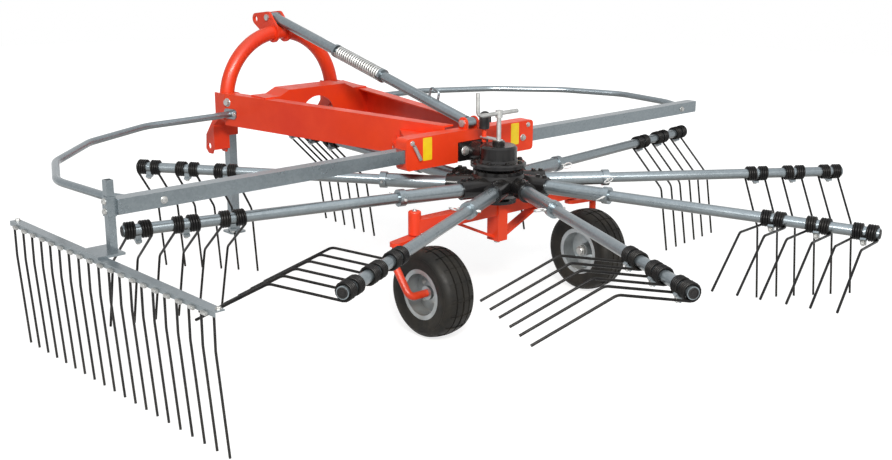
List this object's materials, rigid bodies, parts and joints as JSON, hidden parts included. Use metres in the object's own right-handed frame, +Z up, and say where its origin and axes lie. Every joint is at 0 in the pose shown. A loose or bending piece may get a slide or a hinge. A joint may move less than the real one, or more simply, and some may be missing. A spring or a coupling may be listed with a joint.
{
  "type": "single rotor hay rake",
  "caption": "Tractor-mounted rotary hay rake: tined rotor under an A-frame with hitch headstock, sprung strut, guard bows, castor wheels, parking stand and a swath curtain.",
  "frame": {"origin": "on the ground, under the middle of the box round the machine as it parks", "axes": "+X to the machine's right, +Y in the driving direction (towards the tractor), +Z up"},
  "size_m": [3.0881, 3.1349, 1.03],
  "materials": {
    "red_paint": "gloss, worn",
    "galvanised": "galvanised",
    "zinc": "zinc plated",
    "black_paint": "satin",
    "spring_steel": "satin",
    "black_plastic": "matt",
    "tyre": "matt",
    "rim_silver": "satin"
  },
  "bodies": {
    "frame": {"adjuster_cap": "black_plastic", "adjuster_stem": "red_paint", "axle_beam": "red_paint", "beam_cross_member": "red_paint", "cross_head": "red_paint", "cross_tube_left": "galvanised", "cross_tube_right": "galvanised", "gearbox": "black_paint", "guard_bow_left": "galvanised", "guard_bow_right": "galvanised", "head_gussets": "red_paint", "headstock_arch": "red_paint", "height_crank": "zinc", "lower_hitch_left": "red_paint", "lower_hitch_right": "red_paint", "main_beam_left": "red_paint", "main_beam_right": "red_paint", "rotor_column": "black_paint", "stand_sleeve": "red_paint", "strut_pins": "zinc", "strut_rod": "zinc", "strut_spring": "zinc", "strut_tube": "galvanised", "top_link_bracket": "red_paint", "tube_lock": "zinc"},
    "rotor": {"rotor_hub": "black_paint", "arm_stubs": "galvanised", "tine_arms": "galvanised", "tines_1": "spring_steel", "tines_2": "spring_steel", "tines_3": "spring_steel", "tines_4": "spring_steel", "tines_5": "spring_steel", "tines_6": "spring_steel", "tines_7": "spring_steel", "tines_8": "spring_steel", "tines_9": "spring_steel"},
    "pto": {"pto_shaft": "zinc"},
    "castor_left": {"castor_left": "red_paint"},
    "castor_right": {"castor_right": "red_paint"},
    "wheel_left": {"rim_left": "rim_silver", "tyre_left": "tyre"},
    "wheel_right": {"rim_right": "rim_silver", "tyre_right": "tyre"},
    "stand": {"stand_leg": "galvanised"},
    "curtain_slide": {"curtain_arm": "galvanised"},
    "curtain": {"curtain_post": "galvanised", "curtain_bar": "galvanised", "curtain_tines": "black_paint"}
  },
  "joints": [
    {"name": "rotor_spin", "type": "hinge", "parent": "frame", "child": "rotor", "pos_m": [0.056, -0.0533, 0.49], "axis": [0, 0, 1], "continuous": true},
    {"name": "pto_spin", "type": "hinge", "parent": "frame", "child": "pto", "pos_m": [0.056, 0.2467, 0.594], "axis": [0, 1, 0], "continuous": true},
    {"name": "castor_left_swivel", "type": "hinge", "parent": "frame", "child": "castor_left", "pos_m": [-0.369, -0.0533, 0.4], "axis": [0, 0, 1], "continuous": true},
    {"name": "wheel_left_spin", "type": "hinge", "parent": "castor_left", "child": "wheel_left", "pos_m": [-0.369, -0.1543, 0.1665], "axis": [1, 0, 0], "continuous": true},
    {"name": "castor_right_swivel", "type": "hinge", "parent": "frame", "child": "castor_right", "pos_m": [0.481, -0.0533, 0.4], "axis": [0, 0, 1], "continuous": true},
    {"name": "wheel_right_spin", "type": "hinge", "parent": "castor_right", "child": "wheel_right", "pos_m": [0.481, -0.1543, 0.1665], "axis": [1, 0, 0], "continuous": true},
    {"name": "stand_lift", "type": "slide", "parent": "frame", "child": "stand", "axis": [0, 0, 1], "range_m": [0, 0.3]},
    {"name": "curtain_reach", "type": "slide", "parent": "frame", "child": "curtain_slide", "axis": [-1, 0, 0], "range_m": [0, 0.4]},
    {"name": "curtain_height", "type": "slide", "parent": "curtain_slide", "child": "curtain", "axis": [0, 0, 1], "range_m": [0, 0.09]}
  ],
  "couplings": [
    {"joint": "pto_spin", "follows": "rotor_spin", "ratio": 6.5}
  ]
}
